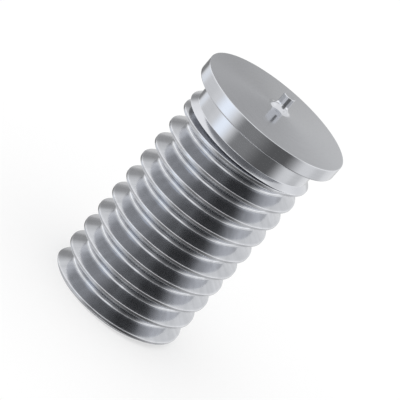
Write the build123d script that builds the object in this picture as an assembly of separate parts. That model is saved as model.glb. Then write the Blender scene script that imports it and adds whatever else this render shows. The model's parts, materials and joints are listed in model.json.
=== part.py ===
# Weld stud with a flange, an ignition tip and a metric coarse thread, M8 x 1.25.
# Lengths are in millimetres. The stud stands on its threaded end, +Z runs along its axis
# towards the weld face, and the origin is the centre of the flat threaded end.
import os
from math import ceil, cos, radians, sin, tan

from build123d import *

# Driving dimensions: thread
thread_d = 7.95          # over the crests, inside the 6g limits of M8
pitch = 1.25
flank_angle = 30.0       # each flank from the plane square to the axis, degrees
crest_share = 1 / 8      # width of the crest flat, as a share of the pitch
root_share = 1 / 6       # root radius, as a share of the height of the sharp triangle
first_crest_z = 0.333    # upper edge of the lowest crest, at the front (-Y)

# Driving dimensions: end, neck and shoulder
body_length = 14.1       # threaded end to the rim of the weld face
end_chamfer = 0.05
neck_d = 7.35
neck_length = 1.18
shoulder_angle = 45.0    # cone between neck and thread, from the axis, degrees

# Driving dimensions: flange and weld face
flange_d = 9.0
flange_thickness = 0.82
flange_edge = 0.05       # bevel between rim and weld face
face_angle = 3.0         # rise of the weld face towards the tip, degrees

# Driving dimensions: ignition tip
tip_d = 0.71
tip_height = 0.85        # above the point where the face cone would close
tip_fillet = 0.38        # between tip and weld face

# Derived sizes
thread_r = thread_d / 2
neck_r = neck_d / 2
flange_r = flange_d / 2
tip_r = tip_d / 2
flange_bottom_z = body_length - flange_thickness
neck_bottom_z = flange_bottom_z - neck_length
thread_top_z = neck_bottom_z - (thread_r - neck_r) / tan(radians(shoulder_angle))
face_slope = tan(radians(face_angle))
tip_top_z = body_length + flange_r * face_slope + tip_height
triangle_height = pitch / (2 * tan(radians(flank_angle)))
root_radius = triangle_height * root_share
groove_mouth = pitch * (1 - crest_share)
groove_overrun = pitch * crest_share / 2


def groove_profile():
    """Section of the thread groove in the XZ plane, between two crests.

    The root follows its arc with three narrow flats, the middle one along the axis, each
    tangent to the arc and meeting its neighbours at equal angles. The flanks go on past
    the crests by groove_overrun, so that the cut leaves no skin.
    """
    angle = radians(flank_angle)
    sharp_r = thread_r - groove_mouth / 2 / tan(angle)
    arc_centre_r = sharp_r + root_radius / sin(angle)
    root_r = arc_centre_r - root_radius
    half_flat = root_radius * tan(radians(90 - flank_angle) / 4)
    corner_r = arc_centre_r - root_radius * sin(angle) + half_flat * cos(angle)
    corner_z = root_radius * cos(angle) + half_flat * sin(angle)
    outside_r = thread_r + groove_overrun
    outside_z = groove_mouth / 2 + groove_overrun * tan(angle)
    upper_half = [(outside_r, outside_z), (corner_r, corner_z), (root_r, half_flat)]
    lower_half = [(r, -z) for r, z in reversed(upper_half)]
    return Plane.XZ * make_face(Polyline(upper_half + lower_half, close=True))


def groove_turn():
    """One turn of the groove, as a right-hand screw sweep that starts at the front."""
    path = Helix(pitch=pitch, height=pitch, radius=thread_r)
    return Rot(0, 0, -90) * sweep(groove_profile(), path=path, is_frenet=True)


def threaded_shank():
    """Plain rod with its end edge broken, and the groove cut turn by turn, out past both ends."""
    rod = extrude(Circle(thread_r), amount=thread_top_z)
    end_rim = rod.edges().filter_by(GeomType.CIRCLE).sort_by(Axis.Z)[0]
    rod = chamfer(end_rim, end_chamfer)
    turn = groove_turn()
    lowest_z = first_crest_z + groove_mouth / 2 - 2 * pitch
    turns = ceil((thread_top_z + groove_mouth - lowest_z) / pitch)
    for number in range(turns):
        rod -= Pos(0, 0, lowest_z + number * pitch) * turn
    return rod


def head():
    """Shoulder cone, neck, flange, weld face and ignition tip, turned as one form."""
    tip_root_z = body_length + (flange_r - tip_r) * face_slope
    outline = Polyline(
        (0, thread_top_z),
        (thread_r, thread_top_z),
        (neck_r, neck_bottom_z),
        (neck_r, flange_bottom_z),
        (flange_r, flange_bottom_z),
        (flange_r, body_length - flange_edge),
        (flange_r - flange_edge, body_length + flange_edge * face_slope),
        (tip_r, tip_root_z),
        (tip_r, tip_top_z),
        (0, tip_top_z),
        close=True,
    )
    section = make_face(outline)
    tip_root = section.vertices().sort_by_distance((tip_r, tip_root_z, 0))[0]
    section = fillet(tip_root, tip_fillet)
    return revolve(Plane.XZ * section, axis=Axis.Z)


weld_stud = threaded_shank() + head()

os.makedirs("parts", exist_ok=True)
export_step(weld_stud, "parts/weld_stud.step")
print("thread up to", round(thread_top_z, 3), "mm, tip at", round(tip_top_z, 3), "mm")
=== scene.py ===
import json
import math

import bmesh
import bpy
import numpy as np
from mathutils import Matrix, Vector


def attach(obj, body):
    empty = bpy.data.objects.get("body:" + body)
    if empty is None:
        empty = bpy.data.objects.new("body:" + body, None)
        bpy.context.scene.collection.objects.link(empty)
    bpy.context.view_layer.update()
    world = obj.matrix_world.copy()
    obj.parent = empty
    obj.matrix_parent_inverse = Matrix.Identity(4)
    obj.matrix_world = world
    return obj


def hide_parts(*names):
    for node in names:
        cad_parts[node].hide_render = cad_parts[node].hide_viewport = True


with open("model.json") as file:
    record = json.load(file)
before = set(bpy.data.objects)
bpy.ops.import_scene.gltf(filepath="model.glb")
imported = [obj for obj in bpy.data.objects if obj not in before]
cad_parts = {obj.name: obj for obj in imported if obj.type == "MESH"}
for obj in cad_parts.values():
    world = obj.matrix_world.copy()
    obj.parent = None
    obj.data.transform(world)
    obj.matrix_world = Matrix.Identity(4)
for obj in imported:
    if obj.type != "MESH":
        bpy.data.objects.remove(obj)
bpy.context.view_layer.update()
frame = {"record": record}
mounts = {m["name"]: m for m in frame["record"]["mounts"]}
mm = 0.001
print("stage: frame loaded")


# profile pieces, each an array of (radius, height) rows in millimetres

def arcRows(centre, radius, fromDeg, toDeg, steps):
    # points on a circle about centre, from one angle to the other in equal steps
    turn = np.radians(np.linspace(fromDeg, toDeg, steps + 1))
    return np.column_stack([centre[0] + radius * np.cos(turn), centre[1] + radius * np.sin(turn)])


def runRows(start, end, holds=(0.012, 0.09), longest=0.7):
    # points strictly between the ends of a straight run: some close to each end, which keep the
    # run's shading flat and let its wear fade, and equal steps of at most longest between those. A
    # run shorter than three holds does without that hold.
    length = np.linalg.norm(end - start)
    near = [h for h in holds if 3 * h < length]
    if not near:
        return np.zeros((0, 2))
    steps = math.ceil((length - 2 * near[-1]) / longest) + 1
    middle = np.linspace(near[-1], length - near[-1], steps)
    along = np.unique(np.concatenate([near, middle, [length - h for h in near]]))
    return start + (along / length)[:, None] * (end - start)


def roundedPath(corners, degPerStep=12, doubled=1e-6):
    # straight runs through (radius, height, corner radius) rows: each corner is the arc that is
    # tangent to both of its runs, and the first and last rows are plain end points. A point closer
    # than doubled to the one before is left out.
    points = np.array([c[:2] for c in corners], float)
    rows = [points[:1]]
    for i in range(1, len(corners) - 1):
        p, size = points[i], corners[i][2]
        back, ahead = points[i - 1] - p, points[i + 1] - p
        back, ahead = back / np.linalg.norm(back), ahead / np.linalg.norm(ahead)
        half = math.acos(np.clip(back @ ahead, -1, 1)) / 2
        middle = (back + ahead) / np.linalg.norm(back + ahead)
        centre = p + middle * size / math.sin(half)
        reach = size / math.tan(half)
        first, last = p + back * reach - centre, p + ahead * reach - centre
        sweep = math.degrees(math.atan2(first[0] * last[1] - first[1] * last[0], first @ last))
        start = math.degrees(math.atan2(first[1], first[0]))
        arc = arcRows(centre, size, start, start + sweep, math.ceil(abs(sweep) / degPerStep))
        rows += [runRows(rows[-1][-1], arc[0]), arc]
    rows += [runRows(rows[-1][-1], points[-1]), points[-1:]]
    rows = np.concatenate(rows)
    fresh = np.linalg.norm(np.diff(rows, axis=0), axis=1) > doubled
    return rows[np.concatenate([[True], fresh])]


def alongPath(rows):
    # distance run along the profile at each row, from 0 at the first
    return np.concatenate([[0], np.cumsum(np.linalg.norm(np.diff(rows, axis=0), axis=1))])


def edgeWearAndHighlight(rows, corners, reach):
    # 1 on the corners that stand out, which are (radius, height) points, and a bell curve of the
    # distance to the nearest of them elsewhere: exp(-(distance / reach)^2). It marks the worn
    # edges and the painted highlight along them
    gap = np.linalg.norm(rows[:, None] - np.array(corners)[None], axis=2).min(axis=1)
    return np.exp(-((gap / reach) ** 2))


# the stud: one closed surface from the middle of the threaded end to the top of the tip, with
# lengths in millimetres

stud = {
    "threadRadius": mounts["thread"]["dims"]["r_mm"],
    "threadTop": mounts["thread"]["dims"]["length_mm"],
    "flangeRadius": mounts["weld_face"]["dims"]["r_mm"],
    "flangeBack": mounts["flange_back"]["pos_m"][2] / mm,
    "rimHeight": mounts["weld_face"]["pos_m"][2] / mm,
    "tipReach": mounts["weld_face"]["dims"]["length_mm"],
    "pitch": 1.25,
    "flankDeg": 30,
    "crestFlat": 0.15625,
    "rootRadius": 0.1804,
    "crestEdge": 0.035,
    "firstCrest": 0.255,  # height of the middle of the lowest crest at the front
    "endEdge": 0.05,
    "ringEdge": 0.03,
    "neckRadius": 3.675,
    "neckFillet": 0.04,
    "underEdge": 0.08,
    "rimEdge": 0.03,
    "faceDeg": 3,
    "tipRadius": 0.355,
    "tipFillet": 0.38,
    "tipEdge": 0.03,
    "wearReach": 0.06,
    "crestWearReach": 0.04,
    "headWear": 0.43,  # how worn the head's edges are, and how strong their painted highlight, beside those of the thread
    "headLayStart": 40,  # where the head's tool marks start, so that they differ from the thread's
    "endShares": (0, 0.12, 0.3, 0.5, 0.7, 0.85, 0.95, 0.993),  # rings of the flat end, by radius
    "endEdgeSteps": 6,
    "ledgeShares": (0.02, 0.1, 0.5, 0.9, 0.98),  # rings of the ledge, from groove to ring
    "columns": 192,
    "seamDeg": 90,  # angle of the first column, at the back
    "mergeWithin": 0.0004,
    "sharpDeg": 35,
}


def threadPitch(s):
    # one pitch of the thread in an axial plane, from the middle of a crest up to the middle of the
    # next: crest flat, flank, root arc tangent to both flanks, flank, crest flat
    r, p, half = s["threadRadius"], s["pitch"], s["crestFlat"] / 2
    sharp = r - (p / 2 - half) / math.tan(math.radians(s["flankDeg"]))  # where the flanks cross
    return roundedPath([
        (r, 0), (r, half, s["crestEdge"]), (sharp, p / 2, s["rootRadius"]),
        (r, p - half, s["crestEdge"]), (r, p),
    ])


def headCorners(s):
    # corners of the turned head, from the ring at the top of the thread to the top of the tip
    r, neck, flange = s["threadRadius"], s["neckRadius"], s["flangeRadius"]
    slope = math.tan(math.radians(s["faceDeg"]))
    ringStart = s["threadTop"] - s["ringEdge"] * math.tan(math.radians(22.5))  # 45 degree cone
    tipFoot = s["rimHeight"] + (flange - s["tipRadius"]) * slope
    tipTop = s["rimHeight"] + s["tipReach"]
    return {
        "ringStart": (r, ringStart),
        "ring": (r, s["threadTop"], s["ringEdge"]),
        "neckFoot": (neck, s["threadTop"] + r - neck, s["neckFillet"]),
        "neckTop": (neck, s["flangeBack"], s["neckFillet"]),
        "under": (flange, s["flangeBack"], s["underEdge"]),
        "rim": (flange, s["rimHeight"], s["rimEdge"]),
        "tipFoot": (s["tipRadius"], tipFoot, s["tipFillet"]),
        "tipEdge": (s["tipRadius"], tipTop, s["tipEdge"]),
        "tipMiddle": (0, tipTop),
    }


def studGrid(s):
    # arrays of rows by columns, where a column is the axial section at one angle: radius, height,
    # lay (distance across the tool marks), rolled (1 in the thread), depth in it (0 crest to 1
    # root) and wear with a painted highlight on the worn edges. The thread's rows climb one pitch
    # a turn, and their height is clipped between the end's edge and the ring, with the other
    # values taken at the clipped height.
    angle = math.radians(s["seamDeg"]) + np.linspace(0, 2 * math.pi, s["columns"] + 1)
    climb = s["pitch"] * (angle + math.pi / 2) / (2 * math.pi)  # 0 at the front, angle -90
    pitchRows = threadPitch(s)
    pitchLay = alongPath(pitchRows)
    crestHalf = s["crestFlat"] / 2
    crestEdges = [(s["threadRadius"], h) for h in (crestHalf, s["pitch"] - crestHalf)]
    pitchWearAndHighlight = edgeWearAndHighlight(pitchRows, crestEdges, s["crestWearReach"])
    corners = headCorners(s)
    head = roundedPath(list(corners.values()))
    low, high = s["endEdge"], head[0, 1]
    turns = range(-2, math.ceil(high / s["pitch"]) + 1)
    base = s["firstCrest"] + np.concatenate([pitchRows[:-1, 1] + n * s["pitch"] for n in turns])
    across = np.concatenate([pitchLay[:-1] + n * pitchLay[-1] for n in turns])
    height = np.clip(base[:, None] + climb, low, high)

    def alongThread(values):
        return np.stack([np.interp(h - c, base, values) for h, c in zip(height.T, climb)], 1)

    radius = alongThread(np.tile(pitchRows[:-1, 0], len(turns)))
    lay = alongThread(across)
    wear = alongThread(np.tile(pitchWearAndHighlight[:-1], len(turns)))
    deepest = s["threadRadius"] - pitchRows[:, 0].min()
    ones = np.ones_like(angle)

    # flat end, and its edge rounded all along the outline
    inner = radius[0] - low
    share = np.array(s["endShares"])[:, None]
    edge = arcRows((0, low), low, -90, 0, s["endEdgeSteps"])[:-1]
    endRadius = np.concatenate([inner * share, inner + edge[:, :1]])
    endHeight = np.concatenate([0 * share * ones, edge[:, 1:] * ones])
    endWearAndHighlight = np.concatenate([0 * share * ones, 0 * edge[:, :1] + ones])

    # ledge under the ring, where the groove is cut off square
    share = np.array(s["ledgeShares"])[:, None]
    ledgeRadius = radius[-1] + (s["threadRadius"] - radius[-1]) * share

    rows = {
        "radius": [endRadius, radius, ledgeRadius, head[:, :1] * ones],
        "height": [endHeight, height, high + 0 * ledgeRadius, head[:, 1:] * ones],
        "lay": [endRadius - radius[0] + lay[0], lay, lay[-1] + ledgeRadius - radius[-1],
                alongPath(head)[:, None] * ones + s["headLayStart"]],
        "rolled": [0 * endRadius, 1 + 0 * radius, 0 * ledgeRadius, 0 * head[:, :1] * ones],
        "depth": [0 * endRadius, (s["threadRadius"] - radius) / deepest,
                  0 * ledgeRadius, 0 * head[:, :1] * ones],
    }
    standOut = [corners[name][:2] for name in ("ring", "under", "rim", "tipEdge")]
    headWear = s["headWear"] * edgeWearAndHighlight(head, standOut, s["wearReach"])
    rows["wear"] = [endWearAndHighlight, wear, 0 * ledgeRadius, headWear[:, None] * ones]
    return angle, {name: np.concatenate(parts) for name, parts in rows.items()}


def buildStud(s):
    # the grid wound about the axis: x = radius cos angle, y = radius sin angle, z = height. Each
    # cell is a face, and doubled points are merged, which closes the seam and both poles. The
    # UV map "lay" holds the angle and the distance across the tool marks.
    angle, grid = studGrid(s)
    radius = grid["radius"]
    points = np.stack([radius * np.cos(angle), radius * np.sin(angle), grid["height"]], 2) * mm
    corner = np.arange(radius.size).reshape(radius.shape)
    faces = np.stack([corner[:-1, :-1], corner[:-1, 1:], corner[1:, 1:], corner[1:, :-1]], 2)
    mesh = bpy.data.meshes.new("studSurface")
    mesh.from_pydata(points.reshape(-1, 3), [], faces.reshape(-1, 4).tolist())
    uv = np.stack([np.broadcast_to(angle, radius.shape), grid["lay"]], 2).reshape(-1, 2)
    layMap = mesh.uv_layers.new(name="lay")
    layMap.uv.foreach_set("vector", uv[faces.reshape(-1)].ravel())
    for name in ("rolled", "depth", "wear"):
        mesh.attributes.new(name, "FLOAT", "POINT").data.foreach_set("value", grid[name].ravel())
    work = bmesh.new()
    work.from_mesh(mesh)
    bmesh.ops.remove_doubles(work, verts=work.verts, dist=s["mergeWithin"] * mm)
    work.to_mesh(mesh)
    work.free()
    mesh.shade_smooth()
    mesh.set_sharp_from_angle(angle=math.radians(s["sharpDeg"]))
    piece = bpy.data.objects.new("weldStud", mesh)
    bpy.context.collection.objects.link(piece)
    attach(piece, "root")
    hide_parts("weld_stud")
    return piece


weldStud = buildStud(stud)
print("stage: stud built,", len(weldStud.data.polygons), "faces")


# bright stainless steel: turned on the head, rolled and a little duller in the thread, with
# painted shade on the crest flats, painted light in the roots, a painted highlight along the worn
# edges and streaks of painted reflection in the die marks down the flanks

steel = {
    "turnedColour": (0.546, 0.557, 0.585, 1),
    # painted shade: the crest flats are darker than the flanks
    "crestColour": (0.455, 0.464, 0.488, 1),
    "rolledColour": (0.473, 0.483, 0.508, 1),
    "rootColour": (0.524, 0.535, 0.562, 1),  # painted light: the roots are paler, standing in for light that reaches them after several reflections
    # worn edges, painted lighter as a highlight along them
    "wornColour": (0.652, 0.662, 0.688, 1),
    "wornShare": 0.7,
    "crestDepth": (0.01, 0.09),  # depths in the thread between which the crest's painted shade ends
    "rootDepth": (0.72, 0.95),  # and between which the root's painted light begins
    "turnedRoughness": 0.13,
    "rolledRoughness": 0.16,
    "wornRoughness": 0.2,
    "patchScale": 260,  # soft patches in colour and roughness, per metre
    "patchColour": 0.05,
    "patchRoughness": 0.03,
    "layLines": 9,  # streaks along the tool marks, per millimetre across them
    "layTurns": 2.2,  # how fast a streak changes round the stud, per radian
    "layColour": 0.035,
    "layRoughness": 0.03,
    "layHeight": 0.00011 * mm,
    "dieTurns": 8,  # die marks down the flanks, strong enough to paint streaks of reflection on them, per radian round the stud
    "dieRise": 1500,  # how fast they change along the stud, per metre
    # painted reflection: how strongly the die marks darken and lighten the colour
    "dieColour": 0.2,
}


def buildSteel(s):
    metal = bpy.data.materials.new("brightSteel")
    metal.use_nodes = True
    nodes, links = metal.node_tree.nodes, metal.node_tree.links
    shader = nodes["Principled BSDF"]
    shader.inputs["Metallic"].default_value = 1

    def feed(socket, value):
        if isinstance(value, bpy.types.NodeSocket):
            links.new(value, socket)
        else:
            socket.default_value = value

    def attribute(name):
        node = nodes.new("ShaderNodeAttribute")
        node.attribute_name = name
        return node.outputs["Fac"]

    def maths(operation, *values):
        node = nodes.new("ShaderNodeMath")
        node.operation = operation
        for socket, value in zip(node.inputs, values):
            feed(socket, value)
        return node.outputs[0]

    def vector(operation, *values):
        node = nodes.new("ShaderNodeVectorMath")
        node.operation = operation
        for socket, value in zip(node.inputs, values):
            feed(socket, value)
        return node.outputs["Vector"]

    def ramp(value, low, high, first, last):
        node = nodes.new("ShaderNodeMapRange")
        node.interpolation_type = "SMOOTHSTEP"
        for socket, given in zip(node.inputs, (value, low, high, first, last)):
            feed(socket, given)
        return node.outputs["Result"]

    def mix(share, first, last):
        node = nodes.new("ShaderNodeMix")
        node.data_type = "RGBA"
        for index, value in ((0, share), (6, first), (7, last)):  # factor, colour A and colour B
            feed(node.inputs[index], value)
        return node.outputs[2]

    def noise(point, scale, detail):
        # from -1 to 1
        node = nodes.new("ShaderNodeTexNoise")
        links.new(point, node.inputs["Vector"])
        node.inputs["Scale"].default_value = scale
        node.inputs["Detail"].default_value = detail
        return maths("MULTIPLY_ADD", node.outputs["Fac"], 2, -1)

    def total(first, *more):
        for value in more:
            first = maths("ADD", first, value)
        return first

    # streaks that run round the stud: noise at (layTurns cos angle, layTurns sin angle, layLines
    # times the distance across the marks), which closes on itself after a turn
    place = nodes.new("ShaderNodeTexCoord")
    layMap = nodes.new("ShaderNodeUVMap")
    layMap.uv_map = "lay"
    across = vector("MULTIPLY", layMap.outputs["UV"], (0, s["layLines"], 0))
    outward = vector("NORMALIZE", vector("MULTIPLY", place.outputs["Object"], (1, 1, 0)))
    around = vector("MULTIPLY", outward, (s["layTurns"], s["layTurns"], 0))
    swapped = vector("CROSS_PRODUCT", across, (-1, 0, 0))  # moves the distance from y to z
    streaks = noise(vector("ADD", around, swapped), 1, 3)
    patches = noise(place.outputs["Object"], s["patchScale"], 4)

    # marks that run down the flanks: noise at (dieTurns cos angle, dieTurns sin
    # angle, dieRise times the height), which the thread alone shows. They are die marks that
    # also paint streaks of reflection
    flute = vector("MULTIPLY", outward, (s["dieTurns"], s["dieTurns"], 0))
    rise = vector("MULTIPLY", place.outputs["Object"], (0, 0, s["dieRise"]))
    rolled, depth, wornHighlight = attribute("rolled"), attribute("depth"), attribute("wear")
    dieReflection = maths("MULTIPLY", noise(vector("ADD", flute, rise), 1, 4), rolled)

    # painted shade: a darker colour on the crest flats
    thread = mix(ramp(depth, *s["crestDepth"], 0, 1), s["crestColour"], s["rolledColour"])
    # painted light: a paler colour in the roots of the thread
    thread = mix(ramp(depth, *s["rootDepth"], 0, 1), thread, s["rootColour"])
    colour = mix(rolled, s["turnedColour"], thread)
    # worn edges, with a painted highlight mixed over them
    colour = mix(maths("MULTIPLY", wornHighlight, s["wornShare"]), colour, s["wornColour"])
    tint = total(
        maths("MULTIPLY", patches, s["patchColour"]),
        maths("MULTIPLY", streaks, s["layColour"]),
        maths("MULTIPLY", dieReflection, s["dieColour"]),
        1,
    )
    links.new(vector("MULTIPLY", colour, tint), shader.inputs["Base Color"])

    rough = total(
        ramp(rolled, 0, 1, s["turnedRoughness"], s["rolledRoughness"]),
        maths("MULTIPLY", wornHighlight, s["wornRoughness"] - s["rolledRoughness"]),
        maths("MULTIPLY", patches, s["patchRoughness"]),
        maths("MULTIPLY", streaks, s["layRoughness"]),
    )
    links.new(rough, shader.inputs["Roughness"])

    bump = nodes.new("ShaderNodeBump")
    bump.inputs["Distance"].default_value = s["layHeight"]
    links.new(streaks, bump.inputs["Height"])
    links.new(bump.outputs["Normal"], shader.inputs["Normal"])
    return metal


weldStud.data.materials.append(buildSteel(steel))
print("stage: steel finished")


# studio: a pale floor, even white light, and a tent that only the metal's reflections see

studio = {
    "floorSpan": 1.5,
    "floorColour": (0.5, 0.5, 0.5, 1),
    "floorLift": 0.52,  # share of plain white that the camera sees over the lit floor
    "tentRadius": 0.5,
    "tentGrid": (181, 91),  # columns and rows
    "groundTone": 0.86,
    "wallTone": 1.22,
    "wallFoot": (-22, -10),  # elevations between which the ground's tone turns into the wall's
    "coolTint": (0.94, 1, 1.08),
}

# cards on the tent: (azimuth from the front, half width, softness), (lowest elevation, highest
# elevation, softness) in degrees, brightness and coolness. Later ones lie over earlier ones.
cards = {
    "leftUpper": ((-110, 25, 20), (32, 60, 12), 1.35, 0),
    "rightUpper": ((100, 12, 16), (40, 60, 12), 0.95, 0),
    "leftHorizon": ((-112, 30, 20), (-11, 8, 10), 1.62, 0),
    "rightHorizon": ((104, 30, 20), (-12, 6, 10), 1.62, 0),
    "leftWallTop": ((-92, 44, 16), (7, 20, 6), 0.85, 0),
    "rightWallTop": ((90, 46, 20), (7, 20, 6), 0.95, 0),
    "frontGlow": ((-4, 6, 8), (-1, 16, 8), 1.7, 0),
    "leftWall": ((-100, 16, 14), (-24, -15, 4), 0.86, 0),
    "rightWall": ((114, 12, 14), (-24, -15, 4), 0.8, 0),
    "keyBox": ((-55, 12, 20), (-20.5, 5, 3), 1.5, 1),
    "backLeftBox": ((-128, 8, 12), (-22, -10, 5), 1.15, 0.5),
    "rightBack": ((155, 25, 20), (-8, 60, 10), 1.1, 0),
    "backRightBox": ((146, 14, 14), (-24, -10, 6), 1.06, 0),
    "backWall": ((196.5, 21.5, 22), (2, 21, 8), 0.48, 0),
    "backHigh": ((190, 18, 22), (20, 33, 10), 0.5, 0),
    "backLow": ((186, 28, 16), (-30, 2, 8), 0.75, 0),
    "backStrip": ((209, 8, 14), (-28, 16, 10), 0.4, 0),
    "backFoot": ((203, 12, 12), (-28, -12, 6), 0.28, 0),
    "leftGround": ((-80, 90, 40), (-91, -50, 12), 0.56, 0),
    "rightGround": ((115, 45, 20), (-50, -26, 6), 0.62, 0),
    "frontLow": ((22, 56, 50), (-75, -26, 8), 0.35, 0),
    "frontFlag": ((10, 40, 20), (-32, -3, 8), 0.32, 0),
    "upperShade": ((33, 32, 24), (2, 22, 10), 0.28, 0),
    "tipShade": ((38, 22, 20), (18, 36, 8), 0.28, 0),
    "cameraShade": ((42, 26, 34), (-52, 8, 12), 0.155, 0),
    "lowShade": ((56, 36, 30), (-48, -23.5, 9), 0.1, 0),
    "deepShade": ((28, 26, 30), (-72, -50, 8), 0.24, 0),
    "nadir": ((0, 181, 1), (-91, -78, 5), 1.5, 0),
}


def softWindow(x, low, high, soft):
    # 1 between low and high and 0 outside them, with a smooth step of width soft at both
    rise = np.clip((x - low) / soft + 0.5, 0, 1)
    fall = np.clip((high - x) / soft + 0.5, 0, 1)
    return rise**2 * (3 - 2 * rise) * fall**2 * (3 - 2 * fall)


def tentLight(azimuth, elevation, s, cards):
    # ground tone below, wall tone above, then each card mixed over by its soft window
    foot, top = s["wallFoot"]
    rise = np.clip((elevation - foot) / (top - foot), 0, 1)
    tone = s["groundTone"] + (s["wallTone"] - s["groundTone"]) * rise**2 * (3 - 2 * rise)
    light = np.repeat(tone[..., None], 3, axis=2)
    for (centre, half, soft), (low, high, rim), bright, cool in cards.values():
        turn = (azimuth - centre + 180) % 360 - 180
        cover = softWindow(turn, -half, half, soft) * softWindow(elevation, low, high, rim)
        tint = 1 + (np.array(s["coolTint"]) - 1) * cool
        light = light + (bright * tint - light) * cover[..., None]
    return light


def buildTent(s, cards):
    # a sphere seen from inside: x = r cos e sin a, y = -r cos e cos a, z = r sin e, with azimuth a
    # from the front towards +X and elevation e
    columns, rows = s["tentGrid"]
    azimuth, elevation = np.meshgrid(np.linspace(-180, 180, columns), np.linspace(-90, 90, rows))
    light = tentLight(azimuth, elevation, s, cards)
    light = np.concatenate([light, np.ones_like(light[..., :1])], axis=2)
    a, e = np.radians(azimuth), np.radians(elevation)
    points = np.stack([np.cos(e) * np.sin(a), -np.cos(e) * np.cos(a), np.sin(e)], 2)
    corner = np.arange(azimuth.size).reshape(azimuth.shape)
    faces = np.stack([corner[:-1, :-1], corner[1:, :-1], corner[1:, 1:], corner[:-1, 1:]], 2)
    mesh = bpy.data.meshes.new("reflectionTent")
    mesh.from_pydata((points * s["tentRadius"]).reshape(-1, 3), [], faces.reshape(-1, 4).tolist())
    mesh.attributes.new("light", "FLOAT_COLOR", "POINT").data.foreach_set("color", light.ravel())
    tent = bpy.data.objects.new("reflectionTent", mesh)
    bpy.context.collection.objects.link(tent)
    tent.visible_camera = False
    tent.visible_diffuse = False
    tent.visible_shadow = False
    glow = bpy.data.materials.new("tentGlow")
    glow.use_nodes = True
    nodes, links = glow.node_tree.nodes, glow.node_tree.links
    nodes.clear()
    read = nodes.new("ShaderNodeAttribute")
    read.attribute_name = "light"
    emit = nodes.new("ShaderNodeEmission")
    out = nodes.new("ShaderNodeOutputMaterial")
    links.new(read.outputs["Color"], emit.inputs["Color"])
    links.new(emit.outputs[0], out.inputs["Surface"])
    glow.cycles.emission_sampling = "NONE"  # found by reflected rays alone, which is less noisy
    mesh.materials.append(glow)


def buildFloor(s):
    # a flat square: its paper takes the light and the stud's shadow, and a share of plain white
    # that the camera alone sees lifts it to the white of the background
    reach = s["floorSpan"]
    mesh = bpy.data.meshes.new("floor")
    mesh.from_pydata(
        [(-reach, -reach, 0), (reach, -reach, 0), (reach, reach, 0), (-reach, reach, 0)],
        [], [(0, 1, 2, 3)],
    )
    floor = bpy.data.objects.new("floor", mesh)
    bpy.context.collection.objects.link(floor)
    floor.visible_glossy = False
    paper = bpy.data.materials.new("paleFloor")
    paper.use_nodes = True
    nodes, links = paper.node_tree.nodes, paper.node_tree.links
    nodes.clear()
    matte = nodes.new("ShaderNodeBsdfDiffuse")
    matte.inputs["Color"].default_value = s["floorColour"]
    path = nodes.new("ShaderNodeLightPath")
    lift = nodes.new("ShaderNodeMath")
    lift.operation = "MULTIPLY"
    lift.inputs[1].default_value = s["floorLift"]
    emit = nodes.new("ShaderNodeEmission")
    both = nodes.new("ShaderNodeAddShader")
    out = nodes.new("ShaderNodeOutputMaterial")
    links.new(path.outputs["Is Camera Ray"], lift.inputs[0])
    links.new(lift.outputs[0], emit.inputs["Strength"])
    links.new(matte.outputs[0], both.inputs[0])
    links.new(emit.outputs[0], both.inputs[1])
    links.new(both.outputs[0], out.inputs["Surface"])
    mesh.materials.append(paper)


buildTent(studio, cards)
buildFloor(studio)
world = bpy.data.worlds.new("evenWhite")
bpy.context.scene.world = world
world.use_nodes = True
world.node_tree.nodes["Background"].inputs["Color"].default_value = (1, 1, 1, 1)
print("stage: studio built")


# camera, fitted to the photograph: a long lens, rolled so that the stud leans to the right. Its
# target and distance are in millimetres, and its clip distances in metres.

camera = {
    "target": (0.003, 0, 7.488),
    "distance": 129.3,
    "elevationDeg": 20.14,
    "rollDeg": 41.02,
    "lens": 217,
    "sensor": 36,
    "clip": (0.01, 10),
}


def buildCamera(c):
    # right and up are the level camera's axes turned by the roll about the line of sight
    lift, roll = math.radians(c["elevationDeg"]), math.radians(c["rollDeg"])
    ahead = Vector((0, math.cos(lift), -math.sin(lift)))
    level, over = Vector((1, 0, 0)), Vector((0, math.sin(lift), math.cos(lift)))
    right = math.cos(roll) * level + math.sin(roll) * over
    up = math.cos(roll) * over - math.sin(roll) * level
    turn = Matrix((right, up, -ahead)).transposed().to_4x4()
    data = bpy.data.cameras.new("photoCamera")
    data.lens, data.sensor_width = c["lens"], c["sensor"]
    data.clip_start, data.clip_end = c["clip"]
    seat = bpy.data.objects.new("photoCamera", data)
    place = (Vector(c["target"]) - ahead * c["distance"]) * mm
    seat.matrix_world = Matrix.Translation(place) @ turn
    bpy.context.collection.objects.link(seat)
    bpy.context.scene.camera = seat


buildCamera(camera)
bpy.context.scene.view_settings.view_transform = "Standard"
print("stage: camera set")
